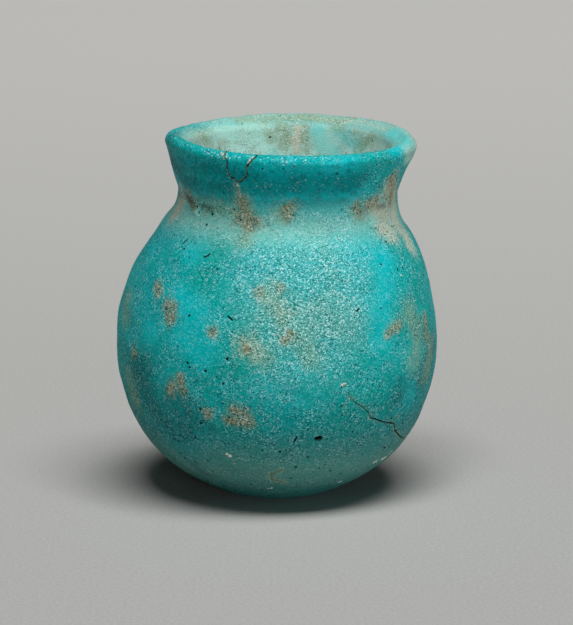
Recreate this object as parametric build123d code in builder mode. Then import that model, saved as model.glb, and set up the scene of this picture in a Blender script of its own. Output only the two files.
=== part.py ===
from build123d import *
from math import acos, atan2, cos, degrees, hypot, radians, sin, sqrt
import os

# A small hand-built jar of Egyptian faience: a globe of ground-quartz paste, a flared
# collar luted to it with quartz slip, a copper-blue glaze over both, and one broken
# piece of the lip that is bonded back into its place.
# The jar stands on a flat spot of its round base, at the origin, with +Z up. Its front
# looks along -Y. The globe and its collar were set by eye and lean towards +X.

# Driving dimensions, in millimetres and degrees
glaze = 0.4  # thickness of the glaze skin

globe_diameter = 42.0  # over the glaze, at the widest line
globe_wall = 4.2  # from the glaze's surface to the cavity, at the widest line
globe_lean = 3.7  # how far the globe's axis leans from the vertical
shoulder_radius = 26.0  # arc of the shoulder, above the widest line
base_wall = 6.0  # paste under the cavity
resting_diameter = 12.0  # flat spot that the jar stands on, bare of glaze
resting_relief = 0.15  # how far the glaze stops short of the ground

neck_diameter = 28.5  # over the glaze, at the narrowest line
neck_wall = 3.4  # from the glaze's surface to the throat
neck_curve = 6.0  # hollow curve from the shoulder to the neck
throat_round = 1.2  # edge between the throat and the cavity

slip_thickness = 0.5  # quartz slip between the globe and the collar

collar_height = 7.5  # from the middle of the slip to the top of the lip
collar_lean = 1.8  # how far the collar's axis leans from the vertical
flare_curve = 3.0  # hollow curve from the neck to the flare
funnel_curve = 6.0  # rounded curve from the throat to the funnel of the mouth
lip_overhang = 2.15  # how far the lip stands out past the neck, glaze to glaze
lip_width = 3.6  # across the lip, glaze to glaze
lip_outer_round = 1.2
lip_inner_round = 1.0

sherd_angle = 24.6  # from the front, towards -X
sherd_width = 4.7  # along the lip
sherd_depth = 3.6  # from the lip down to the tip
sherd_waist = 3.5  # width at the two corners above the tip
sherd_waist_depth = 2.4  # from the lip down to those corners
sherd_tip_shift = 0.5  # how far the tip lies to the left
bond_line = 0.2  # width of the fill in the break

# Sizes and places that follow from these
globe_radius = globe_diameter / 2
neck_radius = neck_diameter / 2
lip_radius = neck_radius + lip_overhang
resting_radius = resting_diameter / 2
throat_radius = neck_radius - neck_wall
cavity_radius = globe_radius - globe_wall
outer_round = min(lip_outer_round, lip_width / 2 - glaze)
inner_round = min(lip_inner_round, lip_width / 2 - glaze)

globe_height = sqrt((globe_radius - glaze) ** 2 - resting_radius**2)
shoulder_inset = globe_radius - shoulder_radius
neck_reach = neck_radius + neck_curve - shoulder_inset
neck_height = sqrt((shoulder_radius + neck_curve) ** 2 - neck_reach**2)
shoulder_sweep = degrees(atan2(neck_height, neck_reach))
trim_height = neck_radius + slip_thickness
sherd_reach = lip_radius + collar_height


def leaning_plane(origin, lean):
    """Section plane of an axis that leans towards +X: its x runs outwards, its y up the axis."""
    outwards = (cos(radians(lean)), 0, -sin(radians(lean)))
    return Plane(origin=origin, x_dir=outwards, z_dir=(0, -1, 0))


globe_section = leaning_plane((0, 0, globe_height), globe_lean)
globe_axis = Axis(globe_section.origin, globe_section.y_dir)
neck_centre = globe_section.from_local_coords((0, neck_height))

collar_section = leaning_plane(neck_centre, collar_lean)
collar_axis = Axis(collar_section.origin, collar_section.y_dir)
seat = Plane(origin=neck_centre, x_dir=collar_section.x_dir, z_dir=collar_section.y_dir)
slip_bottom = seat.offset(-slip_thickness / 2)
slip_top = seat.offset(slip_thickness / 2)

ground = Plane.XY
glaze_end = Plane.XY.offset(resting_relief)

sherd_turn = radians(sherd_angle)
sherd_plane = Plane(
    origin=neck_centre,
    x_dir=seat.x_dir * cos(sherd_turn) - seat.y_dir * sin(sherd_turn),
    z_dir=seat.x_dir * -sin(sherd_turn) - seat.y_dir * cos(sherd_turn),
)


# Outlines of the half sections


def tangent_angle(first, first_radius, second, second_radius):
    """Direction from the first centre square to the line that touches both circles.

    A negative radius puts its circle on the other side of the line.
    """
    across, up = second[0] - first[0], second[1] - first[1]
    turn = acos((first_radius - second_radius) / hypot(across, up))
    return degrees(atan2(up, across) + turn)


def globe_outline(inset):
    """The globe as if solid, inset from the glaze's surface, and run on above the neck."""
    with BuildLine() as outline:
        belly = CenterArc((0, 0), globe_radius - inset, -90, 90)
        CenterArc((shoulder_inset, 0), shoulder_radius - inset, 0, shoulder_sweep)
        neck = CenterArc(
            (neck_radius + neck_curve, neck_height),
            neck_curve + inset,
            180 + shoulder_sweep,
            -shoulder_sweep,
        )
        Polyline(
            neck @ 1,
            neck @ 1 + (0, trim_height),
            (0, neck_height + trim_height),
            belly @ 0,
        )
    return outline.line


def cavity_outline():
    """The hollow of the globe: a shallow bowl, the inside of the shoulder and the throat."""
    shoulder_arc = shoulder_radius - globe_wall
    throat_sweep = degrees(acos((throat_radius - shoulder_inset) / shoulder_arc))
    bowl_depth = globe_height - base_wall
    with BuildLine() as outline:
        bowl = EllipticalCenterArc((0, 0), cavity_radius, bowl_depth, -90, arc_size=90)
        shoulder = CenterArc((shoulder_inset, 0), shoulder_arc, 0, throat_sweep)
        Polyline(
            shoulder @ 1,
            (throat_radius, neck_height + trim_height),
            (0, neck_height + trim_height),
            bowl @ 0,
        )
    return outline.line


def collar_outline(inset):
    """The collar from the seat over the lip to the throat, inset from the glaze's surface."""
    flare_centre = (neck_radius + flare_curve, 0)
    lip_centre = (lip_radius - outer_round, collar_height - outer_round)
    flare_angle = tangent_angle(flare_centre, flare_curve, lip_centre, -outer_round)

    funnel_centre = (throat_radius + funnel_curve, 0)
    brim_centre = (lip_radius - lip_width + inner_round, collar_height - inner_round)
    funnel_angle = tangent_angle(funnel_centre, funnel_curve, brim_centre, inner_round)

    with BuildLine() as outline:
        flare = CenterArc(flare_centre, flare_curve + inset, 180, flare_angle - 180)
        lip = CenterArc(lip_centre, outer_round - inset, flare_angle - 180, 270 - flare_angle)
        brim = CenterArc(brim_centre, inner_round - inset, 90, funnel_angle - 90)
        funnel = CenterArc(
            funnel_centre, funnel_curve - inset, funnel_angle, 180 - funnel_angle
        )
        Line(flare @ 1, lip @ 0)
        Line(lip @ 1, brim @ 0)
        Line(brim @ 1, funnel @ 0)
        Line(funnel @ 1, flare @ 0)
    return outline.line


def sherd_outline():
    """The break in the lip seen from outside, run on above the lip."""
    above = collar_height + sherd_depth
    waist = collar_height - sherd_waist_depth
    with BuildLine() as outline:
        Polyline(
            (-sherd_width / 2, above),
            (-sherd_width / 2, collar_height),
            (-sherd_waist / 2, waist),
            (-sherd_tip_shift, collar_height - sherd_depth),
            (sherd_waist / 2, waist),
            (sherd_width / 2, collar_height),
            (sherd_width / 2, above),
            close=True,
        )
    return outline.line


with BuildSketch(sherd_plane) as notch:
    make_face(sherd_outline())

with BuildSketch(sherd_plane) as sherd_face:
    make_face(sherd_outline())
    offset(amount=-bond_line, kind=Kind.INTERSECTION, mode=Mode.REPLACE)

with BuildSketch(sherd_plane) as bond_face:
    make_face(sherd_outline())
    offset(amount=-bond_line, kind=Kind.INTERSECTION, mode=Mode.SUBTRACT)


# Globe: quartz paste, formed round a core that leaves the cavity

with BuildPart() as globe_body:
    with BuildSketch(globe_section):
        make_face(globe_outline(glaze))
        with BuildSketch(mode=Mode.SUBTRACT) as cavity:
            make_face(cavity_outline())
            bottom, widest, throat_edge, *top = cavity.vertices().sort_by(Axis.Y)
            fillet(throat_edge, throat_round)
    revolve(axis=globe_axis)
    split(bisect_by=slip_bottom, keep=Keep.BOTTOM)
    split(bisect_by=ground, keep=Keep.TOP)
globe_body.part.label = "globe_body"

# Glaze of the globe: a skin from the neck down to just above the ground

with BuildPart() as globe_glaze:
    with BuildSketch(globe_section):
        make_face(globe_outline(0))
        make_face(globe_outline(glaze), mode=Mode.SUBTRACT)
    revolve(axis=globe_axis)
    split(bisect_by=slip_bottom, keep=Keep.BOTTOM)
    split(bisect_by=glaze_end, keep=Keep.TOP)
globe_glaze.part.label = "globe_glaze"

# Luting slip: the ring of quartz slip that joins the collar to the globe

with BuildPart() as luting_slip:
    with BuildSketch(slip_bottom):
        Circle(neck_radius)
        Circle(throat_radius, mode=Mode.SUBTRACT)
    extrude(amount=slip_thickness)
luting_slip.part.label = "luting_slip"

# Collar: quartz paste, with the notch that the sherd broke out of

with BuildPart() as collar_body:
    with BuildSketch(collar_section):
        make_face(collar_outline(glaze))
    revolve(axis=collar_axis)
    split(bisect_by=slip_top, keep=Keep.TOP)
    extrude(notch.sketch, amount=sherd_reach, mode=Mode.SUBTRACT)
collar_body.part.label = "collar_body"

# Glaze of the collar: one skin up the flare, over the lip and down the mouth

with BuildPart() as collar_glaze:
    with BuildSketch(collar_section):
        make_face(collar_outline(0))
        make_face(collar_outline(glaze), mode=Mode.SUBTRACT)
    revolve(axis=collar_axis)
    split(bisect_by=slip_top, keep=Keep.TOP)
    extrude(notch.sketch, amount=sherd_reach, mode=Mode.SUBTRACT)
collar_glaze.part.label = "collar_glaze"

# Sherd: the broken piece of the lip, paste inside and glaze round it

with BuildPart() as rim_sherd_body:
    with BuildSketch(collar_section):
        make_face(collar_outline(glaze))
    revolve(axis=collar_axis)
    extrude(sherd_face.sketch, amount=sherd_reach, mode=Mode.INTERSECT)
rim_sherd_body.part.label = "rim_sherd_body"

with BuildPart() as rim_sherd_glaze:
    with BuildSketch(collar_section):
        make_face(collar_outline(0))
        make_face(collar_outline(glaze), mode=Mode.SUBTRACT)
    revolve(axis=collar_axis)
    extrude(sherd_face.sketch, amount=sherd_reach, mode=Mode.INTERSECT)
rim_sherd_glaze.part.label = "rim_sherd_glaze"

# Bond: the fill that holds the sherd in its notch, through the whole wall

with BuildPart() as sherd_bond:
    with BuildSketch(collar_section):
        make_face(collar_outline(0))
    revolve(axis=collar_axis)
    extrude(bond_face.sketch, amount=sherd_reach, mode=Mode.INTERSECT)
sherd_bond.part.label = "sherd_bond"


pieces = (
    globe_body,
    globe_glaze,
    luting_slip,
    collar_body,
    collar_glaze,
    rim_sherd_body,
    rim_sherd_glaze,
    sherd_bond,
)
os.makedirs("parts", exist_ok=True)
for piece in pieces:
    export_step(piece.part, f"parts/{piece.part.label}.step")
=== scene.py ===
from math import acos, atan2, ceil, cos, hypot, pi, radians, sin, sqrt, tau

import bpy
import numpy as np
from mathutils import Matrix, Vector
from mathutils.bvhtree import BVHTree


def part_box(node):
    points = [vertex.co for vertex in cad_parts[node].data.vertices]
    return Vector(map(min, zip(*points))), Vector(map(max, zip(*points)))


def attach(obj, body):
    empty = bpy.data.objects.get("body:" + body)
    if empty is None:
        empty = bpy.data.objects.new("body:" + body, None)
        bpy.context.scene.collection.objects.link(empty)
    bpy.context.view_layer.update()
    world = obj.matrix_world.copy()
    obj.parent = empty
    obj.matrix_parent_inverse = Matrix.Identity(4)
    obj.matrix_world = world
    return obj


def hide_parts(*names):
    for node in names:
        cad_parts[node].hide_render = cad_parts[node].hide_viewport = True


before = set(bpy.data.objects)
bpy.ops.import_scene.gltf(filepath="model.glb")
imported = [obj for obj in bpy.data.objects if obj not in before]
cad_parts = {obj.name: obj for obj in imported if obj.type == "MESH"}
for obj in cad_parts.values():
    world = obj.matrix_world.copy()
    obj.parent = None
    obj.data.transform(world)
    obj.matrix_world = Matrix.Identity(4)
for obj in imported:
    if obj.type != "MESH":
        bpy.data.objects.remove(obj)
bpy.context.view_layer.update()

# Viewpoint: a long lens 0.6 m in front of the jar, looking a little down at it. It comes
# first, because marks on the jar are named by their pixels in the photograph.
mm = 0.001
photo_size = (573, 625)
photo_middle = (photo_size[0] / 2, photo_size[1] / 2)
lens_distance = 600 * mm
look_down = radians(12.8)
globe_centre = Vector((0, 0, 19.707 * mm))
globe_pixel = (277, 339)
pixels_per_mm = 7.62
pixel = mm / pixels_per_mm
sensor = 36
forward = Vector((0, cos(look_down), -sin(look_down)))
upward = Vector((0, sin(look_down), cos(look_down)))
rightward = Vector((1, 0, 0))


def photo_point(x, y):
    """Where a pixel of the photograph lies on the plane through the globe's centre."""
    across = (x - globe_pixel[0]) * pixel
    down = (y - globe_pixel[1]) * pixel
    return globe_centre + rightward * across - upward * down


eye = photo_point(*photo_middle) - forward * lens_distance
bpy.ops.object.select_all(action="DESELECT")
bpy.ops.object.camera_add(location=eye, rotation=forward.to_track_quat("-Z", "Y").to_euler())
camera = bpy.context.object
camera.name = "camera"
camera.data.sensor_width = sensor
camera.data.lens = sensor * lens_distance / (max(photo_size) * pixel)
bpy.context.scene.camera = camera

# Globe: ground quartz pressed round a core that burnt out and left the cavity, fired hard.
# It leans a little to the right and stands on a flat spot of its round base. Inside, it is
# bare, sandy paste.
globe_radius = 21.0 * mm
shoulder_radius = 26.0 * mm
globe_wall = 4.2 * mm
base_wall = 6.0 * mm
glaze = 0.4 * mm
globe_lean = radians(3.7)
neck_curve = 6.0 * mm
neck_wall = 3.4 * mm
throat_round = 1.2 * mm
slip_thickness = 0.5 * mm
seat_lean = radians(1.8)
slip_low, slip_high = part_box("luting_slip")
neck_centre = (slip_low + slip_high) / 2
neck_radius = (slip_high.y - slip_low.y) / 2
throat_radius = neck_radius - neck_wall
neck_height = (neck_centre - globe_centre).length
seat_axis = Vector((sin(seat_lean), 0, cos(seat_lean)))
half_slip = slip_thickness / 2
slip_bottom = neck_centre - seat_axis * half_slip
shoulder_inset = globe_radius - shoulder_radius
neck_middle = (neck_radius + neck_curve, neck_height)
shoulder_sweep = atan2(neck_height, neck_middle[0] - shoulder_inset)
spare = 1.5 * mm
core_step = 0.9 * mm
core_turns = 120
weld = 0.002 * mm
paste_edge = radians(40)
paste_shine = 0.2

# How far the maker's hands left the jar off the true round, in millimetres
flank_swell = 0.32
shoulder_push = 0.5
left_nip = 0.37
right_roll = 0.42
lip_rise = 0.30
right_drop = 0.35
dent_depth = 0.10
dimple_depth = 0.045
ripple_depth = 0.014
collar_ripple = 0.022


def arc(centre, radius, start, end, step):
    """Points of (radius, height) along an arc, about one step apart."""
    count = max(2, ceil(abs(end - start) * abs(radius) / step))
    turns = [start + (end - start) * i / count for i in range(count + 1)]
    return [(centre[0] + radius * cos(t), centre[1] + radius * sin(t)) for t in turns]


def globe_outline(inset, step):
    """Section of the globe's outside, from its lowest point to a little above the neck."""
    return [
        *arc((0, 0), globe_radius - inset, -pi / 2, 0, step),
        *arc((shoulder_inset, 0), shoulder_radius - inset, 0, shoulder_sweep, step)[1:],
        *arc(neck_middle, neck_curve + inset, pi + shoulder_sweep, pi, step)[1:],
        (neck_radius - inset, neck_height + spare),
    ]


def cavity_outline(step):
    """Section of the globe's inside, from above the throat down to the cavity's floor."""
    ceiling = shoulder_radius - globe_wall
    round_reach = throat_radius + throat_round - shoulder_inset
    round_height = sqrt((ceiling + throat_round) ** 2 - round_reach**2)
    sweep = atan2(round_height, round_reach)
    bowl_radius = globe_radius - globe_wall
    bowl_depth = globe_centre.z - base_wall
    bowl_steps = ceil(bowl_radius * pi / 2 / step)
    turns = [-pi / 2 * i / bowl_steps for i in range(1, bowl_steps + 1)]
    return [
        (throat_radius, neck_height + spare),
        *arc((throat_radius + throat_round, round_height), throat_round, pi, pi + sweep, step / 3),
        *arc((shoulder_inset, 0), ceiling, sweep, 0, step)[1:],
        *[(bowl_radius * cos(t), bowl_depth * sin(t)) for t in turns],
    ]


def activate(piece):
    """Selects one piece alone and makes it the active one."""
    bpy.ops.object.select_all(action="DESELECT")
    piece.select_set(True)
    bpy.context.view_layer.objects.active = piece


def wire(name, points):
    """A new piece, drawn in edit mode as a chain of edges through some points."""
    bpy.ops.object.select_all(action="DESELECT")
    bpy.ops.mesh.primitive_plane_add(size=mm)
    piece = bpy.context.object
    piece.name = piece.data.name = name
    bpy.ops.object.mode_set(mode="EDIT")
    bpy.ops.mesh.select_all(action="SELECT")
    bpy.ops.mesh.merge(type="CENTER")
    bpy.ops.transform.translate(value=points[0])
    for here, there in zip(points, points[1:]):
        bpy.ops.mesh.extrude_vertices_move(TRANSFORM_OT_translate={"value": there - here})
    bpy.ops.mesh.select_all(action="SELECT")
    return piece


def face_outwards():
    """Turns the faces of the piece in edit mode outwards, and leaves edit mode."""
    bpy.ops.mesh.select_all(action="SELECT")
    bpy.ops.mesh.normals_make_consistent(inside=False)
    bpy.ops.object.mode_set(mode="OBJECT")


def turned(name, outline, turns, centre, lean):
    """Spins an outline of (radius, height) about an axis that leans to the right."""
    outwards = Vector((cos(lean), 0, -sin(lean)))
    axis = Vector((sin(lean), 0, cos(lean)))
    piece = wire(name, [centre + outwards * r + axis * h for r, h in outline])
    bpy.ops.mesh.spin(steps=turns, angle=tau, center=centre, axis=axis)
    bpy.ops.mesh.select_all(action="SELECT")
    bpy.ops.mesh.remove_doubles(threshold=weld)
    face_outwards()
    return piece


def cut(piece, place, normal):
    """Cuts away what lies behind a plane, and closes the cut."""
    activate(piece)
    bpy.ops.object.mode_set(mode="EDIT")
    bpy.ops.mesh.select_all(action="SELECT")
    bpy.ops.mesh.bisect(
        plane_co=place, plane_no=normal, clear_inner=True, use_fill=True, threshold=0.001 * mm
    )
    bpy.ops.object.mode_set(mode="OBJECT")


def places(piece):
    """Where a piece's vertices are."""
    flat = np.empty(len(piece.data.vertices) * 3, dtype=np.float32)
    piece.data.vertices.foreach_get("co", flat)
    return flat.reshape(-1, 3).astype(float)


def move_to(piece, points):
    """Puts a piece's vertices where they are told."""
    piece.data.vertices.foreach_set("co", points.ravel().astype(np.float32))
    piece.data.update()


def smooth_shading(piece, edge):
    """Shades a piece smooth, but for edges that are sharper than an angle."""
    activate(piece)
    bpy.ops.object.shade_smooth_by_angle(angle=edge)


def smoothstep(low, high, value):
    """0 up to low, 1 from high on, and a smooth rise from one to the other."""
    share = np.clip((value - low) / (high - low), 0, 1)
    return share * share * (3 - 2 * share)


def hill(value, middle, spread):
    """1 at the middle, and less on both sides of it."""
    return np.exp(-(((value - middle) / spread) ** 2))


def waves(points, length, count, seed):
    """Soft lumps about one length across: many crossing waves, about 1 high and low in all."""
    dice = np.random.default_rng(seed)
    ways = dice.normal(size=(count, 3))
    ways *= tau / (length * dice.uniform(0.7, 1.5, count) * np.linalg.norm(ways, axis=1))[:, None]
    phases = dice.uniform(0, tau, count)
    return np.sin(points @ ways.T + phases).sum(axis=1) / sqrt(count)


def hand_formed(piece):
    """Moves a piece's points off the true round, as the maker's hands did for all of them."""
    points = places(piece)
    x, y, z = (points / mm).T
    reach = np.hypot(x, y) + 1e-6
    flank = flank_swell * hill(z, 6.5, 4.5) * smoothstep(8, 13, reach)
    shoulder = shoulder_push * hill(z, 34, 5)
    nipped = left_nip * smoothstep(41, 46, z) * smoothstep(8, 15, -x)
    rolled = right_roll * hill(z, 44.6, 1.5) * smoothstep(9, 15.5, x)
    across = shoulder + flank * x / reach + nipped + rolled
    back_tilt = smoothstep(-8, 12, y) * (0.03 * x - 0.2 - 0.2 * smoothstep(2, 13, -x))
    lift = smoothstep(38, 46, z) * (lip_rise + back_tilt)
    lift -= right_drop * smoothstep(16.6, 18, x) * smoothstep(45, 46.5, z)
    shift = np.stack([across, flank * y / reach, lift], axis=1)
    outwards = points - np.array(globe_centre)
    outwards /= np.linalg.norm(outwards, axis=1)[:, None] + 1e-9
    dents = dent_depth * waves(points, 14 * mm, count=12, seed=4)
    dents += dimple_depth * waves(points, 4 * mm, count=24, seed=9)
    ripples = ripple_depth + collar_ripple * smoothstep(40.5, 42.5, z)
    ripples *= waves(points, 1.3 * mm, count=40, seed=6)
    shift += outwards * ((dents + ripples) * smoothstep(0.5, 6, z))[:, None]
    move_to(piece, points + shift * mm)


def paint(red, green, blue):
    """A colour named by its screen values, in the linear light that shaders use."""
    screen = [c / 255 for c in (red, green, blue)]
    return (*[c / 12.92 if c <= 0.04045 else ((c + 0.055) / 1.055) ** 2.4 for c in screen], 1.0)


class Shade:
    """A value in a material: sums and products of it add the nodes that work them out."""

    def __init__(self, tree, socket=None):
        self.tree = tree
        self.socket = socket

    def node(self, kind, settings, sockets, output=0):
        """Adds a node, with its settings first and then its sockets, and gives an output."""
        made = self.tree.nodes.new(kind)
        for name, value in settings.items():
            setattr(made, name, value)
        for place, value in sockets.items():
            if isinstance(value, Shade):
                self.tree.links.new(value.socket, made.inputs[place])
            else:
                made.inputs[place].default_value = value
        return Shade(self.tree, made.outputs[output])

    def maths(self, operation, *values):
        return self.node("ShaderNodeMath", {"operation": operation}, dict(enumerate(values)))

    def __add__(self, other):
        return self.maths("ADD", self, other)

    def __sub__(self, other):
        return self.maths("SUBTRACT", self, other)

    def __rsub__(self, other):
        return self.maths("SUBTRACT", other, self)

    def __mul__(self, other):
        return self.maths("MULTIPLY", self, other)

    __radd__ = __add__
    __rmul__ = __mul__

    def larger(self, other):
        """The larger of this and another value."""
        return self.maths("MAXIMUM", self, other)

    def between(self, low, high):
        """0 up to low, 1 from high on, and a smooth rise from one to the other."""
        return self.node(
            "ShaderNodeMapRange",
            {"interpolation_type": "SMOOTHSTEP"},
            {"Value": self, "From Min": low, "From Max": high},
        )

    def blend(self, first, second, way="MIX"):
        """The first colour where this is 0, and where it is 1 the second or what the way gives."""
        settings = {"data_type": "RGBA", "blend_type": way}
        return self.node("ShaderNodeMix", settings, {0: self, 6: first, 7: second}, 2)

    def noise(self, size, detail=2.0, roughness=0.5):
        """Cloudy noise whose lumps are about one size across, at the places this gives."""
        return self.node(
            "ShaderNodeTexNoise",
            {},
            {"Vector": self, "Scale": 1 / size, "Detail": detail, "Roughness": roughness},
        )

    def cells(self, size):
        """Grains about one size across: how far each place is from a grain's middle, and its chance."""
        sockets = {"Vector": self, "Scale": 1 / size}
        far = self.node("ShaderNodeTexVoronoi", {}, sockets)
        tint = self.node("ShaderNodeTexVoronoi", {}, sockets, 1)
        return far, self.node("ShaderNodeSeparateColor", {}, {0: tint})

    def shifted(self, *offset):
        """The same places, moved, so that another pattern starts elsewhere."""
        return self.node("ShaderNodeVectorMath", {"operation": "ADD"}, {0: self, 1: offset})


def material(name, shine):
    """A new material of some shine, its shader node, and a Shade that reads Object coordinates."""
    made = bpy.data.materials.new(name)
    made.use_nodes = True
    shader = made.node_tree.nodes["Principled BSDF"]
    shader.inputs["Specular IOR Level"].default_value = shine
    return made, shader, Shade(made.node_tree).node("ShaderNodeTexCoord", {}, {}, 3)


def finish(shader, colour, roughness, height, depth):
    """Links a finish to its shader: height is raised by up to one depth."""
    bump = colour.node("ShaderNodeBump", {}, {"Distance": depth, "Height": height})
    for place, value in (("Base Color", colour), ("Roughness", roughness), ("Normal", bump)):
        colour.tree.links.new(value.socket, shader.inputs[place])


paste_pale = paint(206, 190, 164)
paste_dark = paint(150, 126, 96)
quartz_paste, paste_shader, here = material("quartz_paste", paste_shine)
sandy = here.noise(0.35 * mm, 3.0, 0.65)
smoky = here.noise(5 * mm, 3.0)
paste_colour = (smoky * 0.6 + sandy * 0.4).between(0.36, 0.62).blend(paste_dark, paste_pale)
finish(paste_shader, paste_colour, roughness=0.82 + sandy * 0.12, height=sandy, depth=0.12 * mm)

paste_outline = globe_outline(glaze, core_step) + cavity_outline(core_step)
globe = turned("globe", paste_outline, core_turns, globe_centre, globe_lean)
cut(globe, slip_bottom, -seat_axis)
cut(globe, (0, 0, 0), (0, 0, 1))
hand_formed(globe)
smooth_shading(globe, paste_edge)
globe.data.materials.append(quartz_paste)
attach(globe, "root")
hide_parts("globe_body")

# Globe's glaze: a copper-blue skin that grew out of the paste in the fire. It is glassy where
# it stayed thick, worn to a pale grain elsewhere, pitted, cracked low on the right, and stained
# with burial earth in the neck. Painted shade, light, sheen and glints lie on it as well. It
# stops just short of the ground.
skin_step = 0.36 * mm
lining_step = 2 * mm
skin_turns = 360
ground_gap = 0.15 * mm
glaze_edge = radians(60)
glaze_shine = 0.03
grain_size = 0.14 * mm
glint_size = 0.16 * mm
hole_spacing = 0.72 * mm
grain_relief = 0.07 * mm
well_outside = 100 * mm

# Marks on the globe's front, by their pixels in the photograph
fine_crack = [
    [(348.6, 396), (356.7, 403.7), (361.6, 406), (367.9, 411.8), (371.4, 418.4)],
    [(389.6, 423), (394, 419), (398.5, 416)],
    [(405.8, 436.7), (410, 431), (413.5, 426)],
]
belly_crack = [
    (371.4, 418.4), (375.6, 419), (381.9, 421.6), (389.6, 423), (394.6, 423.7), (394.8, 430.4),
    (398.8, 434.6), (401.6, 437.7), (405.8, 436.7),
]
pits = [
    [(205, 371)], [(207, 461)], [(220, 466)], [(213.5, 482)], [(234, 490)], [(243, 490)],
    [(180, 453)], [(174, 439)], [(187, 363)], [(227, 359)], [(212, 214)], [(197, 207)], [(199, 213)],
]
deep_pits = [[(317, 439), (320, 438.5)]]
scratches = [
    [(183, 243), (187, 239)], [(204, 257), (207, 256), (209.5, 254)], [(228, 316.5), (232, 320)],
    [(294, 442), (297, 437)], [(389, 447), (392, 442)], [(357, 311), (359, 309)],
]
chips = [[(382, 459), (386, 457), (390.5, 452.5)], [(374, 462.5), (377, 461)], [(340, 482)]]
white_specks = [
    [(401, 276)], [(342, 385), (344.5, 384)], [(227, 454), (230, 456)], [(268, 488), (271, 488)],
]
cream_lumps = [[(197, 212)], [(371, 224), (375, 226)], [(288, 216)]]
low_right = [[(400, 388), (388, 416)]]
# Darker patches low on the left of the belly
low_left_dark = [[(180, 426), (190, 434)], [(212, 428)], [(196, 466), (206, 474)]]
base_stain = [[(281, 470), (271, 474), (272, 479), (283, 482)]]
earth_patches = [
    [(167, 302), (169, 320)], [(173, 307), (172, 318)], [(157, 286), (159, 292)], [(134, 353)],
    [(180, 378), (182, 390)], [(172, 384), (170, 392)], [(233, 410), (247, 416)], [(207, 413)],
    [(213, 332)], [(247, 349)], [(259, 293)], [(280, 288)], [(388, 333), (399, 325)],
    [(425, 318), (427, 336)], [(286, 340), (290, 336)], [(236, 414), (244, 412)], [(228, 420), (250, 423)],
]
olive_patches = [
    [(127, 300), (126, 318)], [(129, 378), (135, 400)], [(431, 345), (426, 374)],
    [(410, 312), (418, 340), (414, 362)], [(246, 346), (262, 356)], [(270, 292), (284, 318)],
    [(245, 240)], [(300, 336), (312, 356)],
]
buff_patches = [[(268, 292), (280, 306), (308, 318)], [(326, 322), (340, 330)], [(244, 346), (256, 354)]]
smooth_patches = [
    [(188, 335), (206, 358)], [(182, 300), (196, 318)], [(196, 254)], [(385, 262), (380, 330)],
    [(147, 335)],
]
# Deep patches: deeper glass, and painted shade on the lower left and right edges of the belly
deep_and_shade_patches = [
    [(140, 372), (150, 400), (180, 440)], [(431, 352), (424, 378)], [(174, 404), (194, 422)],
]


def surface(*pieces):
    """The faces of some pieces together, to be searched by rays."""
    corners, faces = [], []
    for piece in pieces:
        first = len(corners)
        corners += [Vector(place) for place in places(piece)]
        faces += [[first + corner for corner in face.vertices] for face in piece.data.polygons]
    return BVHTree.FromPolygons(corners, faces)


def seen_at(skin, stroke):
    """The places on a surface that the photograph shows at a stroke's pixels."""
    hits = [skin.ray_cast(eye, photo_point(*spot) - eye) for spot in stroke]
    return [np.array(place) for place, normal, _, _ in hits if place and normal.dot(place - eye) < 0]


def lines_on(skin, strokes):
    """The strokes that lie on a surface, as lines through places on it."""
    return [line for line in (seen_at(skin, stroke) for stroke in strokes) if line]


def scattered(skin, count, seed):
    """Single places at the back of a surface, which the photograph doesn't show."""
    dice = np.random.default_rng(seed)
    turns = dice.uniform(radians(10), radians(170), count)
    heights = dice.uniform(3 * mm, 38 * mm, count)
    ways = [Vector((cos(turn), sin(turn), 0)) for turn in turns]
    starts = [way * well_outside + Vector((0, 0, high)) for way, high in zip(ways, heights)]
    hits = [skin.ray_cast(start, -way)[0] for start, way in zip(starts, ways)]
    return [[np.array(place)] for place in hits if place]


def distance_to(points, line):
    """How far each point lies from a line through some places."""
    nearest = np.linalg.norm(points - line[0], axis=1)
    for start, end in zip(line, line[1:]):
        along = end - start
        share = np.clip((points - start) @ along / (along @ along), 0, 1)
        nearest = np.minimum(nearest, np.linalg.norm(points - start - share[:, None] * along, axis=1))
    return nearest


def refine(piece, lines, reach):
    """Splits the faces near some lines, so that they can take fine relief."""
    activate(piece)
    bpy.ops.object.mode_set(mode="EDIT")
    bpy.ops.mesh.select_all(action="DESELECT")
    bpy.ops.object.mode_set(mode="OBJECT")
    points = places(piece)
    near = np.zeros(len(points), dtype=bool)
    for line in lines:
        near |= distance_to(points, line) < reach
    piece.data.vertices.foreach_set("select", near)
    bpy.ops.object.mode_set(mode="EDIT")
    bpy.ops.mesh.subdivide(number_cuts=1)
    bpy.ops.object.mode_set(mode="OBJECT")


def raise_along(piece, lines, reach, height):
    """Raises a surface along some lines, or sinks it where the height is negative."""
    points = places(piece)
    normals = np.empty(points.size, dtype=np.float32)
    piece.data.vertex_normals.foreach_get("vector", normals)
    swell = np.zeros(len(points))
    for line in lines:
        swell = np.maximum(swell, 1 - smoothstep(0.3 * reach, reach, distance_to(points, line)))
    move_to(piece, points + normals.reshape(-1, 3) * (swell * height)[:, None])


def stain(piece, name, lines, reach, strength=1.0):
    """Lays an attribute on a piece: most on some lines, less further off, and never less than before."""
    points = places(piece)
    layer = piece.data.attributes.get(name) or piece.data.attributes.new(name, "FLOAT", "POINT")
    amount = np.empty(len(points), dtype=np.float32)
    layer.data.foreach_get("value", amount)
    for line in lines:
        amount = np.maximum(amount, strength * hill(distance_to(points, line), 0, reach))
    layer.data.foreach_set("value", amount.astype(np.float32))


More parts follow.
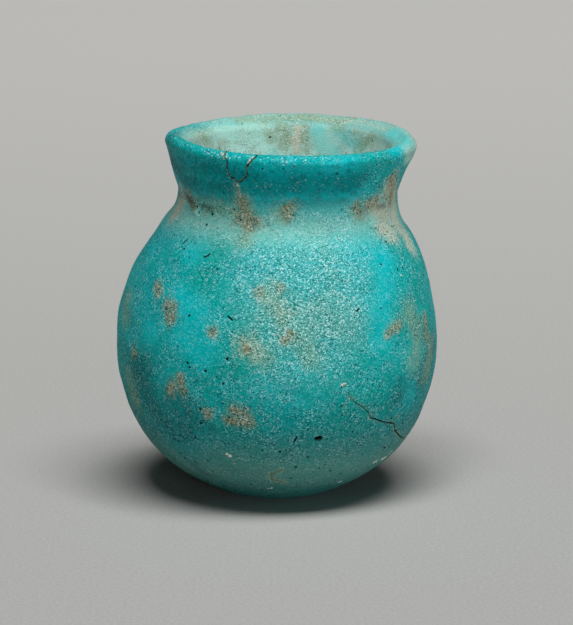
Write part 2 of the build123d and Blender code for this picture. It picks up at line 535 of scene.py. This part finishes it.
turquoise = paint(0, 195, 199)
sky_turquoise = paint(0, 198, 206)
deep_teal = paint(0, 166, 157)
deep_glass_and_shade = paint(0, 118, 120)
wear_and_sheen_cyan = paint(156, 240, 246)
pale_and_lit_grain = paint(150, 246, 244)
glint_white = paint(218, 250, 252)
pale_green_and_lit = paint(186, 248, 230)
shadow_teal = paint(70, 176, 174)
milky_glass = paint(132, 236, 226)
milky_cyan = paint(164, 207, 196)
milky_deep_painted_light = paint(214, 252, 242)
milky_sand = paint(198, 204, 172)
olive_tinge = paint(152, 172, 132)
sandy_buff = paint(226, 220, 196)
base_grey = paint(120, 140, 122)
earth_tan = paint(188, 162, 114)
earth_brown = paint(84, 86, 56)
quartz_white = paint(214, 224, 210)
pit_black = paint(14, 18, 14)


def glaze_finish(name):
    """Copper-blue glaze: glassy to worn, with grain, earth stains, bare quartz, dark pits, and painted
    light and shade.
    """
    made, shader, here = material(name, glaze_shine)

    # Patterns: clouds of several sizes, grains of quartz, and holes where bubbles burst
    up = here.node("ShaderNodeSeparateXYZ", {}, {0: here}, 2)
    broad = here.noise(10 * mm, 2.0)
    cloudy = here.noise(2.4 * mm, 4.0, 0.6)
    mottled = here.shifted(0.7, 0.4, 0.6).noise(0.9 * mm, 3.0, 0.6)
    fine = here.shifted(0.3, 0.1, 0.2).noise(0.4 * mm, 2.0, 0.6)
    drift = here.shifted(0.9, 0.2, 0.5).noise(4 * mm, 3.0, 0.6)
    dimples = here.shifted(0.2, 0.6, 0.9).noise(0.8 * mm, 2.0)
    flattened = here.node("ShaderNodeVectorMath", {"operation": "MULTIPLY"}, {0: here, 1: (0.5, 0.5, 1)})
    glitter = flattened.noise(glint_size, 2.0, 0.6)
    far, chance = here.cells(grain_size)
    hole_far, hole_chance = here.shifted(0.5, 0.8, 0.1).cells(hole_spacing)
    hump = (1 - far).between(0.2, 0.95)
    luck = chance * 0.85 + fine * 0.4 - 0.625

    def kept(attribute):
        """What stain has laid on the piece under a name."""
        return here.node("ShaderNodeAttribute", {"attribute_name": attribute}, {}, 2)

    def patchy(attribute, clouds, mottle, grains=0.0):
        """The same, with its edges broken up by clouds, mottling and single grains."""
        return kept(attribute) + clouds * (cloudy - 0.5) + mottle * (mottled - 0.5) + grains * luck

    # How smooth, milky, worn and grainy the surface is, and where a painted sheen lies
    smooth = patchy("smooth", clouds=0.5, mottle=0.3).between(0.1, 0.9)
    milky = kept("milky").between(0.2, 0.75) * (1 - 0.4 * smooth)
    wear_and_sheen = 0.12 + 0.9 * kept("wear_and_sheen") + 0.7 * (cloudy - 0.5) + 0.6 * (mottled - 0.5) + 0.4 * (broad - 0.5)
    wear_and_sheen = wear_and_sheen.between(0.0, 1.1) * (1 - 0.9 * smooth) * up.between(9 * mm, 17 * mm)
    clumps = (cloudy * 0.55 + mottled * 0.45).between(0.42, 0.56)
    grainy = 0.3 + 0.7 * wear_and_sheen.larger(clumps)
    grainy = grainy * (1 - 0.6 * smooth) * (1 - 0.8 * kept("glassy")) * (1 - 0.25 * kept("deep_and_shade"))
    grainy = grainy * (1 - 0.2 * milky) * (0.4 + 0.6 * up.between(6 * mm, 12 * mm))

    # Colour of the glass: deeper where it is thick and in patches, paler where it is worn and under a
    # painted sheen
    tone = (broad * 0.5 + cloudy * 0.3 + mottled * 0.2 + 0.1 * smooth).between(0.34, 0.66)
    colour = tone.blend(deep_teal, up.between(24 * mm, 36 * mm).blend(turquoise, sky_turquoise))
    # Darker towards the bottom of the jar: painted shade
    low = 0.75 * (1 - up.between(9 * mm, 18 * mm))
    # Deeper glass in patches, partly painted shade on the belly's lower edges and under the collar
    deep_and_shade = patchy("deep_and_shade", clouds=0.5, mottle=0.4).between(0.05, 0.95)
    colour = low.larger(deep_and_shade).blend(colour, deep_glass_and_shade)
    # Darker in the hollows of the collar's dimples: deeper glass and painted shade
    colour = ((1 - dimples.between(0.32, 0.48)) * kept("glassy") * 0.6).blend(colour, deep_glass_and_shade)
    foot = (1 - up.between(5 * mm, 14 * mm)) * (0.12 + 0.66 * cloudy) * (1 - 0.8 * deep_and_shade)
    colour = (foot * (0.5 + 0.5 * up.between(mm, 4 * mm))).blend(colour, base_grey)
    # Paler cyan where the glaze is worn and where a painted sheen lies on the belly
    colour = (wear_and_sheen * 0.24).blend(colour, wear_and_sheen_cyan)
    colour = (wear_and_sheen * drift.between(0.46, 0.66) * 0.2).blend(colour, olive_tinge)
    # Paler deeper down the funnel: painted light where little light reaches inside the mouth
    milk = up.between(neck_centre.z + 3.5 * mm, neck_centre.z + 7 * mm).blend(milky_deep_painted_light, milky_cyan)
    milk = (0.75 * (cloudy * 0.5 + mottled * 0.5).between(0.45, 0.6)).blend(milk, milky_sand)
    milk = (smooth * 0.8).blend(milk, milky_glass)
    colour = (milky * (0.85 + 0.3 * luck)).blend(colour, milk)
    # Paler green where the glaze is pale, and painted light on the shoulder under the lip
    colour = (kept("pale_and_lit") * (0.25 + 0.5 * mottled)).blend(colour, pale_green_and_lit)

    # Stains of olive, sand and earth
    olive = patchy("olive", clouds=0.7, mottle=0.5, grains=0.3).between(0.2, 1.3)
    colour = (olive * 0.75).blend(colour, olive_tinge)
    sandy = patchy("sandy", clouds=0.6, mottle=0.5, grains=0.4).between(0.2, 1.1)
    colour = (sandy * 0.9).blend(colour, sandy_buff)
    earth = patchy("earth", clouds=0.4, mottle=0.7, grains=0.25).between(0.12, 1.05)
    earthy = (chance * 0.6 + fine * 0.4).between(0.3, 0.65).blend(earth_brown, earth_tan)
    colour = (earth * 0.92).blend(colour, earthy)
    soiled = sandy.larger(earth.larger(olive))

    # Grains: pale ones and painted light and shade on them, painted glints and sparks, and bare quartz
    grainy = grainy.larger(soiled * 0.7)
    # Pale grains: paler quartz, and painted light on the tops of grains
    colour = (luck.between(0.04, 0.36) * grainy * (0.3 + 0.34 * wear_and_sheen)).blend(colour, pale_and_lit_grain)
    # Painted shade on the dark sides of grains
    shaded = (0 - luck).between(0.0, 0.36) * grainy * 0.95 * (1 - 0.6 * milky) * (1 - 0.5 * kept("pale_and_lit"))
    colour = (shaded * (1 - 0.6 * earth)).blend(colour, shadow_teal, "MULTIPLY")
    # Painted glints on single grains
    glints = luck.between(0.29, 0.39) * grainy * (0.4 + 0.5 * wear_and_sheen.larger(soiled * 0.8))
    colour = (glints * 0.88).blend(colour, glint_white)
    # Painted glints in small specks, more along the lip's front, over the collar and in the mouth
    spark = kept("spark")
    sparks = (glitter + 0.2 * (cloudy - 0.5) + 0.02 * spark + 0.03 * milky).between(0.68, 0.72)
    sparks = sparks * (0.3 + 0.6 * spark.larger(milky))
    colour = sparks.blend(colour, glint_white)
    bare = (kept("bare") * (0.72 + 1.6 * luck + 0.8 * (mottled - 0.5))).between(0.4, 0.65)
    colour = bare.blend(colour, quartz_white)

    # Dark marks: single dark grains, burst bubbles, and the pits and cracks that stain has laid
    dark_grains = (1 - chance).between(0.96, 0.985) * hump * 0.6 * (1 - smooth)
    holed = (hole_chance + 0.15 * (1 - up.between(8 * mm, 14 * mm))).between(0.92, 0.97)
    dots = (1 - hole_far - 0.3 * (fine - 0.5)).between(0.7, 0.84) * holed * (1 - wear_and_sheen)
    dots = dots * (1 - 0.4 * milky) * (1 - 0.6 * kept("glassy"))
    dark = (kept("dark") * (0.75 + 0.5 * fine)).between(0.25, 0.75)
    # Black in the bubble holes and in the pits is painted shade in them
    colour = dark.larger(dots.larger(dark_grains)).blend(colour, pit_black)

    roughness = 0.38 + 0.22 * grainy + 0.16 * earth + 0.06 * cloudy
    height = hump * (0.1 + 0.9 * grainy) + fine * (0.2 + 0.6 * earth) + 8 * dimples * kept("glassy")
    finish(shader, colour, roughness, height, grain_relief)
    return made


copper_glaze = glaze_finish("copper_glaze")

glaze_outline = globe_outline(0, skin_step) + globe_outline(glaze, lining_step)[::-1]
globe_skin = turned("globe_glaze_skin", glaze_outline, skin_turns, globe_centre, globe_lean)
cut(globe_skin, slip_bottom, -seat_axis)
cut(globe_skin, (0, 0, ground_gap), (0, 0, 1))
hand_formed(globe_skin)

glass = surface(globe_skin)
cracks = lines_on(glass, [belly_crack])
hairlines = lines_on(glass, fine_crack)
hollows = lines_on(glass, pits) + scattered(glass, count=16, seed=3)
deep_hollows = lines_on(glass, deep_pits)
nicks = lines_on(glass, scratches)
flakes = lines_on(glass, chips) + scattered(glass, count=5, seed=8)
specks = lines_on(glass, white_specks) + scattered(glass, count=8, seed=21)
lumps = lines_on(glass, cream_lumps)
earth_spots = lines_on(glass, earth_patches) + scattered(glass, count=12, seed=5)
olive_spots = lines_on(glass, olive_patches) + scattered(glass, count=7, seed=2)
smooth_spots = lines_on(glass, smooth_patches) + scattered(glass, count=5, seed=31)
deep_and_shade_spots = lines_on(glass, deep_and_shade_patches) + scattered(glass, count=3, seed=12)
worn_spots = scattered(glass, count=5, seed=17)
fine_marks = [*cracks, *hairlines, *hollows, *deep_hollows, *nicks, *flakes, *specks]
refine(globe_skin, fine_marks + lumps, 0.9 * mm)
refine(globe_skin, fine_marks, 0.55 * mm)
refine(globe_skin, [*cracks, *hairlines, *nicks], 0.28 * mm)
stain(globe_skin, "dark", cracks, 0.12 * mm, 0.75)
stain(globe_skin, "dark", hairlines, 0.11 * mm, 0.6)
stain(globe_skin, "dark", nicks, 0.13 * mm)
# Pits and the deep pit stained black: painted shade in the holes
stain(globe_skin, "dark", hollows, 0.22 * mm)
stain(globe_skin, "dark", deep_hollows, 0.38 * mm)
stain(globe_skin, "bare", flakes, 0.42 * mm, 1.1)
stain(globe_skin, "bare", specks, 0.28 * mm, 1.2)
stain(globe_skin, "bare", lumps, 0.4 * mm, 0.6)
stain(globe_skin, "deep_and_shade", lines_on(glass, low_right), 3 * mm, 0.6)
stain(globe_skin, "dark", lines_on(glass, low_left_dark), 2.2 * mm, 0.42)
stain(globe_skin, "dark", lines_on(glass, base_stain), 0.55 * mm, 0.5)
stain(globe_skin, "olive", lines_on(glass, base_stain), 0.8 * mm, 0.9)
stain(globe_skin, "earth", earth_spots, 1.05 * mm, 0.82)
stain(globe_skin, "earth", cracks + hairlines, 0.6 * mm, 0.4)
stain(globe_skin, "olive", olive_spots, 2.4 * mm, 0.9)
stain(globe_skin, "sandy", lines_on(glass, buff_patches), 2.8 * mm, 0.4)
stain(globe_skin, "wear_and_sheen", worn_spots, 6 * mm)
stain(globe_skin, "smooth", smooth_spots, 2.8 * mm, 0.75)
stain(globe_skin, "deep_and_shade", deep_and_shade_spots, 4 * mm, 0.76)

raise_along(globe_skin, cracks, 0.14 * mm, -0.2 * mm)
raise_along(globe_skin, hairlines, 0.12 * mm, -0.1 * mm)
raise_along(globe_skin, nicks, 0.15 * mm, -0.2 * mm)
raise_along(globe_skin, hollows, 0.26 * mm, -0.28 * mm)
raise_along(globe_skin, deep_hollows, 0.45 * mm, -0.34 * mm)
raise_along(globe_skin, flakes, 0.4 * mm, -0.14 * mm)
raise_along(globe_skin, lumps, 0.8 * mm, 0.3 * mm)
raise_along(globe_skin, specks, 0.3 * mm, 0.1 * mm)
smooth_shading(globe_skin, glaze_edge)
globe_skin.data.materials.append(copper_glaze)
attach(globe_skin, "root")
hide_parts("globe_glaze")

# Luting slip: a ring of wet quartz slip that stuck the collar to the globe, level with the
# glaze on both sides of it. The glaze ran over it, earth has gathered in its hollow, and
# painted shade and painted light lie on it as well.
slip_outline = [
    *[(neck_radius, h) for h in (-half_slip, 0, half_slip)],
    *[(throat_radius, h) for h in (half_slip, -half_slip)],
    (neck_radius, -half_slip),
]
slip_ring = turned("slip_ring", slip_outline, skin_turns, neck_centre, seat_lean)
hand_formed(slip_ring)
smooth_shading(slip_ring, glaze_edge)
slip_ring.data.materials.append(copper_glaze)
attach(slip_ring, "root")
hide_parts("luting_slip")

# Collar: quartz paste pinched up into a flare with a flat lip and a funnel inside. It was set
# by eye, so it leans less than the globe, and a piece of its lip once broke out.
collar_height = 7.5 * mm
flare_curve = 3.0 * mm
funnel_curve = 6.0 * mm
lip_radius = neck_radius + 2.15 * mm
lip_width = 3.6 * mm
lip_outer_round = 0.9 * mm
lip_inner_round = 1.4 * mm
lip_fall = 0.7 * mm
slip_top = neck_centre + seat_axis * half_slip
sherd_turn = radians(24.6)
sherd_way = Vector((-sin(sherd_turn), -cos(sherd_turn), 0))
bond_line = 0.2 * mm
notch_rise = 5 * mm
notch_start = throat_radius - 4 * mm
notch_depth = 14 * mm
rim_step = 0.3 * mm
break_edge = [
    (223.7, 155.7), (226.6, 161.5), (226, 166.2), (227.5, 172), (228.5, 175.8), (233.3, 179.2),
    (236.6, 182.5), (241.9, 181.6), (245.7, 177.7), (248.6, 175.3), (246.2, 168.2), (251.4, 162.4),
    (256.2, 157.6),
]


def tangent_turn(first, first_radius, second, second_radius):
    """Direction from the first centre square to the line that touches both circles."""
    across, up = second[0] - first[0], second[1] - first[1]
    return atan2(up, across) + acos((first_radius - second_radius) / hypot(across, up))


def straight(start, end, step):
    """Points between two ends, about one step apart, without the ends."""
    count = ceil(hypot(end[0] - start[0], end[1] - start[1]) / step)
    return [tuple(s + (e - s) * i / count for s, e in zip(start, end)) for i in range(1, count)]


def collar_outline(inset, step):
    """Section of the collar from below its seat, over the lip and down the throat again."""
    flare_middle = (neck_radius + flare_curve, 0)
    lip_middle = (lip_radius - lip_outer_round, collar_height - lip_outer_round)
    brim_middle = (lip_radius - lip_width + lip_inner_round, collar_height - lip_fall - lip_inner_round)
    funnel_middle = (throat_radius + funnel_curve, 0)
    flare_turn = tangent_turn(flare_middle, flare_curve, lip_middle, -lip_outer_round)
    funnel_turn = tangent_turn(funnel_middle, funnel_curve, brim_middle, lip_inner_round)
    top_turn = tangent_turn(brim_middle, lip_inner_round, lip_middle, lip_outer_round)
    flare = arc(flare_middle, flare_curve + inset, pi, flare_turn, step)
    lip = arc(lip_middle, lip_outer_round - inset, flare_turn - pi, top_turn, step * 0.5)
    brim = arc(brim_middle, lip_inner_round - inset, top_turn, funnel_turn, step * 0.6)
    funnel = arc(funnel_middle, funnel_curve - inset, funnel_turn, pi, step)
    return [
        (neck_radius - inset, -spare),
        *flare, *straight(flare[-1], lip[0], step),
        *lip, *straight(lip[-1], brim[0], step),
        *brim, *straight(brim[-1], funnel[0], step),
        *funnel,
        (throat_radius + inset, -spare),
    ]


def collar_piece(name, outline, turns):
    """Spins a section of the collar, cuts it off at the slip and forms it by hand."""
    piece = turned(name, outline + outline[:1], turns, neck_centre, seat_lean)
    cut(piece, slip_top, seat_axis)
    hand_formed(piece)
    return piece


def wedge(name, inset):
    """A block through the wall whose sides follow the break, inset from them."""
    corners = [Vector(place) for place in break_line]
    above = Vector((0, 0, notch_rise))
    corners = [corners[0] + above, *corners, corners[-1] + above]
    corners = [c + sherd_way * (notch_start - (c - neck_centre).dot(sherd_way)) for c in corners]
    block = wire(name, corners)
    bpy.ops.mesh.edge_face_add()
    if inset:
        bpy.ops.mesh.inset(thickness=inset)
        bpy.ops.mesh.select_all(action="INVERT")
        bpy.ops.mesh.delete(type="VERT")
        bpy.ops.mesh.select_all(action="SELECT")
    bpy.ops.mesh.extrude_region_move(TRANSFORM_OT_translate={"value": sherd_way * notch_depth})
    face_outwards()
    return block


def carve(piece, block, operation):
    """Takes a block from a piece, or keeps only what lies in the block."""
    activate(piece)
    knife = piece.modifiers.new("break", "BOOLEAN")
    knife.object = block
    knife.operation = operation
    bpy.ops.object.modifier_apply(modifier=knife.name)


def copy_of(piece, name):
    """A second piece with its own mesh."""
    activate(piece)
    bpy.ops.object.duplicate()
    twin = bpy.context.object
    twin.name = twin.data.name = name
    return twin


# The glaze's skin is spun first, because the break is drawn on it
skin_outline = collar_outline(0, rim_step) + collar_outline(glaze, core_step)[::-1]
collar_skin = collar_piece("collar_glaze_skin", skin_outline, skin_turns)
rim = surface(collar_skin)
break_line = seen_at(rim, break_edge)
notch = wedge("notch", 0)
plug = wedge("plug", bond_line)

collar = collar_piece("collar", collar_outline(glaze, core_step), core_turns)
collar.data.materials.append(quartz_paste)
sherd = copy_of(collar, "sherd")
carve(collar, notch, "DIFFERENCE")
smooth_shading(collar, paste_edge)
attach(collar, "root")
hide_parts("collar_body")

# Collar's glaze: one skin up the flare, over the lip and down the funnel. It is deep and glassy
# outside, with painted shade low on its front and painted glints along the lip, milky and sandy
# inside the mouth with painted light deep in the funnel, and thin along the edge of the lip. Its
# marks, and those in the neck and across the belly, are given by their pixels in the photograph.
neck_crease = [[(184, 192), (190, 200), (193, 206)], [(203, 206), (212, 210)], [(384, 205), (378, 207)]]
neck_earth = [
    [(242, 203), (246, 214), (250, 226)], [(240, 218), (256, 222)], [(288, 207), (286, 214)],
    [(356, 207), (359, 213)], [(392, 178), (391, 198)], [(366, 206), (374, 202)], [(190, 197), (194, 205)],
]
sandy_patches = [
    [(393, 202), (395, 220), (398, 226)], [(405, 233), (409, 243)], [(376, 208), (386, 214)],
    [(382, 226), (390, 232)], [(390, 186), (392, 200)], [(183, 197), (179, 206), (176, 212)],
]
neck_green = [[(205, 208), (232, 211)], [(278, 214), (286, 216)], [(241, 198), (246, 212), (249, 228)]]
# Wear, and a painted sheen on the front of the belly
wear_and_sheen_patches = [[(280, 275), (284, 312), (292, 334)], [(322, 264), (340, 296), (322, 332)], [(316, 300)]]
mouth_sand = [
    [(204, 136), (210, 144)], [(280, 124), (287, 134), (284, 144)], [(300, 128), (304, 146), (297, 152)],
    [(362, 145), (373, 139)], [(238, 119), (300, 117), (352, 120)], [(271, 138)], [(341, 126)],
]
mouth_streak = [[(298, 129), (296, 140), (297, 150)]]
mouth_green = [[(338, 132), (350, 142), (362, 146)], [(232, 153), (272, 155)]]
mouth_pale = [[(224, 130), (244, 138), (266, 141)], [(322, 140), (330, 149)], [(250, 127), (262, 130)]]
mouth_cyan = [[(318, 132), (324, 146), (334, 152)], [(392, 132), (406, 140), (392, 150)]]
mouth_pits = [[(270, 137.5)]]
lip_chips = [
    [(342, 124), (352, 121)], [(222, 153), (225, 158)], [(250, 160.5), (253.5, 158)], [(249, 163)],
    [(237, 185)],
]
# Painted glints along the front edge of the lip
front_edge = [[(206, 153), (232, 157), (262, 160), (300, 161), (336, 160)]]
collar_pits = [[(223, 193)], [(262, 169)], [(283, 169)], [(337, 174)], [(398, 161)]]
break_stain = [[(236, 184), (239, 192), (241, 200)]]
glassy_front = [
    [(180, 160), (230, 172), (290, 176), (350, 174)],
    [(186, 182), (225, 192), (290, 194), (350, 190)],
]
# Deep glaze on the collar's front, with painted shade on its lower part
deep_and_shade_front = [
    [(172, 162), (215, 170), (240, 177), (300, 181), (360, 179)],
    [(183, 180), (225, 187), (290, 188), (355, 185)],
]
# Painted shade at the foot of the collar under its overhanging lip, and deep glaze at the lip's left end
deep_and_shade_edges = [[(200, 195), (236, 199), (300, 202), (345, 200)], [(170, 138), (181, 133)]]
pale_lip = [[(400, 128), (410, 140), (410, 150)]]

# How milky the worn edge of the lip is, by degrees round the neck: 0 at the right, 90 at the back
lip_turns = [-180, -150, -80, -40, 0, 50, 120, 180]
lip_wear = [0.16, 0.16, 0.34, 0.5, 0.74, 0.76, 0.6, 0.16]


def ring(radius, height, sides):
    """A level ring about the neck's centre, at a height above it."""
    turns = np.linspace(0, tau, sides + 1)
    return [np.array(neck_centre + Vector((radius * cos(t), radius * sin(t), height))) for t in turns]


def inward(piece):
    """How much each part of a piece faces the jar's axis: 1 inside the mouth, 0 outside."""
    normals = np.empty(len(piece.data.vertices) * 3, dtype=np.float32)
    piece.data.vertex_normals.foreach_get("vector", normals)
    spokes = places(piece) - np.array(neck_centre)
    spokes[:, 2] = 0
    facing = -(normals.reshape(-1, 3) * spokes).sum(axis=1) / np.linalg.norm(spokes, axis=1)
    return smoothstep(-0.15, 0.4, facing)


neck = surface(globe_skin, slip_ring, collar_skin)
neck_ring = ring(radius=15.3 * mm, height=-1.7 * mm, sides=72)
funnel_ring = ring(radius=11.4 * mm, height=4.6 * mm, sides=72)
lip_ring = ring(radius=14.7 * mm, height=7.4 * mm, sides=96)
rim_pits = lines_on(rim, collar_pits + mouth_pits)
rim_chips = lines_on(rim, lip_chips)
for reach in (0.8 * mm, 0.4 * mm):
    refine(collar_skin, [break_line, *rim_pits, *rim_chips], reach)
within = inward(collar_skin)
spokes = places(collar_skin) - np.array(neck_centre)
round_the_lip = np.degrees(np.arctan2(spokes[:, 1], spokes[:, 0]))
lip_milk = np.interp(round_the_lip, lip_turns, lip_wear)
stain(collar_skin, "dark", rim_pits, 0.15 * mm, 0.8)
stain(collar_skin, "dark", [break_line], 0.06 * mm, 0.7)
stain(collar_skin, "bare", rim_chips, 0.3 * mm, 1.1)
# Painted glints along the lip's front edge and over the glassy front of the collar
stain(collar_skin, "spark", lines_on(rim, front_edge), 0.5 * mm, 3.0)
stain(collar_skin, "spark", lines_on(rim, glassy_front), 3 * mm, 0.4)

# Earth, wear, painted light and painted shade cross the seam, so the three pieces that meet in the neck
# take them together
for part in (globe_skin, slip_ring, collar_skin):
    stain(part, "earth", lines_on(neck, neck_earth), 1.4 * mm, 0.8)
    # Dark earth, and painted shade in the crease under the collar
    stain(part, "dark", lines_on(neck, neck_crease), 0.9 * mm, 0.5)
    stain(part, "sandy", lines_on(neck, sandy_patches), 2.2 * mm, 0.95)
    stain(part, "sandy", [neck_ring], 1.5 * mm, 0.42)
    stain(part, "olive", lines_on(neck, neck_green), 1.8 * mm, 0.8)
    # Paler glaze below the collar, with painted light where the lip shades the shoulder
    stain(part, "pale_and_lit", [neck_ring], 2.2 * mm, 1.0)
    # Wear, and a painted sheen on the front of the belly
    stain(part, "wear_and_sheen", lines_on(neck, wear_and_sheen_patches), 6 * mm)

stain(collar_skin, "earth", lines_on(rim, break_stain), 0.5 * mm, 0.6)
stain(collar_skin, "sandy", lines_on(rim, mouth_streak), 0.8 * mm, 0.9)
stain(collar_skin, "olive", lines_on(rim, mouth_sand), 1.4 * mm, 1.0)
stain(collar_skin, "milky", [funnel_ring], 4.2 * mm, within)
stain(collar_skin, "pale_and_lit", lines_on(rim, mouth_pale), 1.8 * mm)
stain(collar_skin, "milky", [lip_ring], 1.8 * mm, lip_milk)
stain(collar_skin, "milky", lines_on(rim, pale_lip), 2.2 * mm, 1.0)
stain(collar_skin, "smooth", lines_on(rim, glassy_front), 2.2 * mm)
stain(collar_skin, "glassy", lines_on(rim, glassy_front), 2.6 * mm)
stain(collar_skin, "deep_and_shade", lines_on(rim, deep_and_shade_front), 2.1 * mm, 0.7)
stain(collar_skin, "deep_and_shade", lines_on(rim, deep_and_shade_edges), 1.2 * mm, 0.6)
stain(collar_skin, "smooth", lines_on(rim, mouth_green), 1.4 * mm, 0.55)
stain(collar_skin, "smooth", lines_on(rim, mouth_cyan), 1.4 * mm, 0.8)
raise_along(collar_skin, rim_pits, 0.22 * mm, -0.2 * mm)
raise_along(collar_skin, rim_chips, 0.3 * mm, 0.1 * mm)
collar_skin.data.materials.append(copper_glaze)
sherd_skin = copy_of(collar_skin, "sherd_skin")
carve(collar_skin, notch, "DIFFERENCE")
smooth_shading(collar_skin, glaze_edge)
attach(collar_skin, "root")
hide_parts("collar_glaze")

# Sherd: the piece of the lip that broke out and was put back, with the paste that it is made
# of and the glaze over it. It sits in its notch, a bond line clear of the notch's sides.
for part, node, slot in (
    (sherd, "rim_sherd_body", "quartz_paste"),
    (sherd_skin, "rim_sherd_glaze", "copper_glaze"),
):
    carve(part, plug, "INTERSECT")
    smooth_shading(part, glaze_edge)
    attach(part, "root")
    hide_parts(node)

# Bond: the brown fill that holds the sherd in its notch. It lies just below the glaze, dark
# with dirt in some places and pale where it was wiped clean.
bond_sink = 0.07 * mm
bond_step = 0.5 * mm
bond_turns = 240
bond_shine = 0.2
bond_brown = paint(16, 30, 27)
bond_pale = paint(112, 118, 96)
bond_fill, bond_shader, here = material("bond_fill", bond_shine)
gritty = here.noise(0.7 * mm, 3.0, 0.6)
bond_colour = gritty.between(0.42, 0.62).blend(bond_brown, bond_pale)
finish(bond_shader, bond_colour, roughness=0.8 + 0.1 * gritty, height=gritty, depth=0.06 * mm)
bond = collar_piece("bond", collar_outline(bond_sink, bond_step), bond_turns)
carve(bond, notch, "INTERSECT")
carve(bond, plug, "DIFFERENCE")
activate(bond)
bpy.ops.object.mode_set(mode="EDIT")
face_outwards()
bond.data.materials.clear()
bond.data.materials.append(bond_fill)
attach(bond, "root")
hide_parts("sherd_bond")
bpy.ops.object.select_all(action="DESELECT")
notch.select_set(True)
plug.select_set(True)
bpy.ops.object.delete()

# Stage: a sheet of grey paper under a wide softbox, nearly overhead, with a weaker softbox in
# front and to the right, and a very weak light from the room.
paper_dark = paint(173, 173, 171)
paper_light = paint(183, 183, 180)
paper_far = paint(205, 204, 201)
room_light = (0.012, 0.012, 0.012, 1)
softbox_distance = 3.0
bpy.ops.object.select_all(action="DESELECT")
bpy.ops.mesh.primitive_plane_add(size=4)
floor = bpy.context.object
floor.name = "floor"
paper, paper_shader, here = material("grey_paper", shine=0.0)
paper_grain = here.noise(0.45 * mm, 3.0, 0.7)
far = here.node("ShaderNodeSeparateXYZ", {}, {0: here}, 1).between(-0.1, 0.45)
near_grey = paper_grain.between(0.35, 0.65).blend(paper_dark, paper_light)
paper_colour = far.blend(near_grey, paper_far)
finish(paper_shader, paper_colour, roughness=0.9 + 0.05 * paper_grain, height=paper_grain, depth=0.03 * mm)
floor.data.materials.append(paper)


def softbox(name, height, turn, width, depth, power):
    """A rectangular light that faces the jar, at a height and a turn to the right of the front."""
    way = Vector((cos(height) * sin(turn), -cos(height) * cos(turn), sin(height)))
    bpy.ops.object.light_add(
        type="AREA",
        location=globe_centre + way * softbox_distance,
        rotation=way.to_track_quat("Z", "Y").to_euler(),
    )
    light = bpy.context.object
    light.name = name
    light.data.shape = "RECTANGLE"
    light.data.size = width
    light.data.size_y = depth
    light.data.energy = power


softbox("overhead", height=radians(74), turn=radians(18), width=2.2, depth=1.0, power=92)
softbox("front", height=radians(4), turn=radians(24), width=1.6, depth=0.36, power=25)
world = bpy.data.worlds.new("studio")
bpy.context.scene.world = world
world.use_nodes = True
world.node_tree.nodes["Background"].inputs["Color"].default_value = room_light

bpy.context.scene.view_settings.view_transform = "Standard"
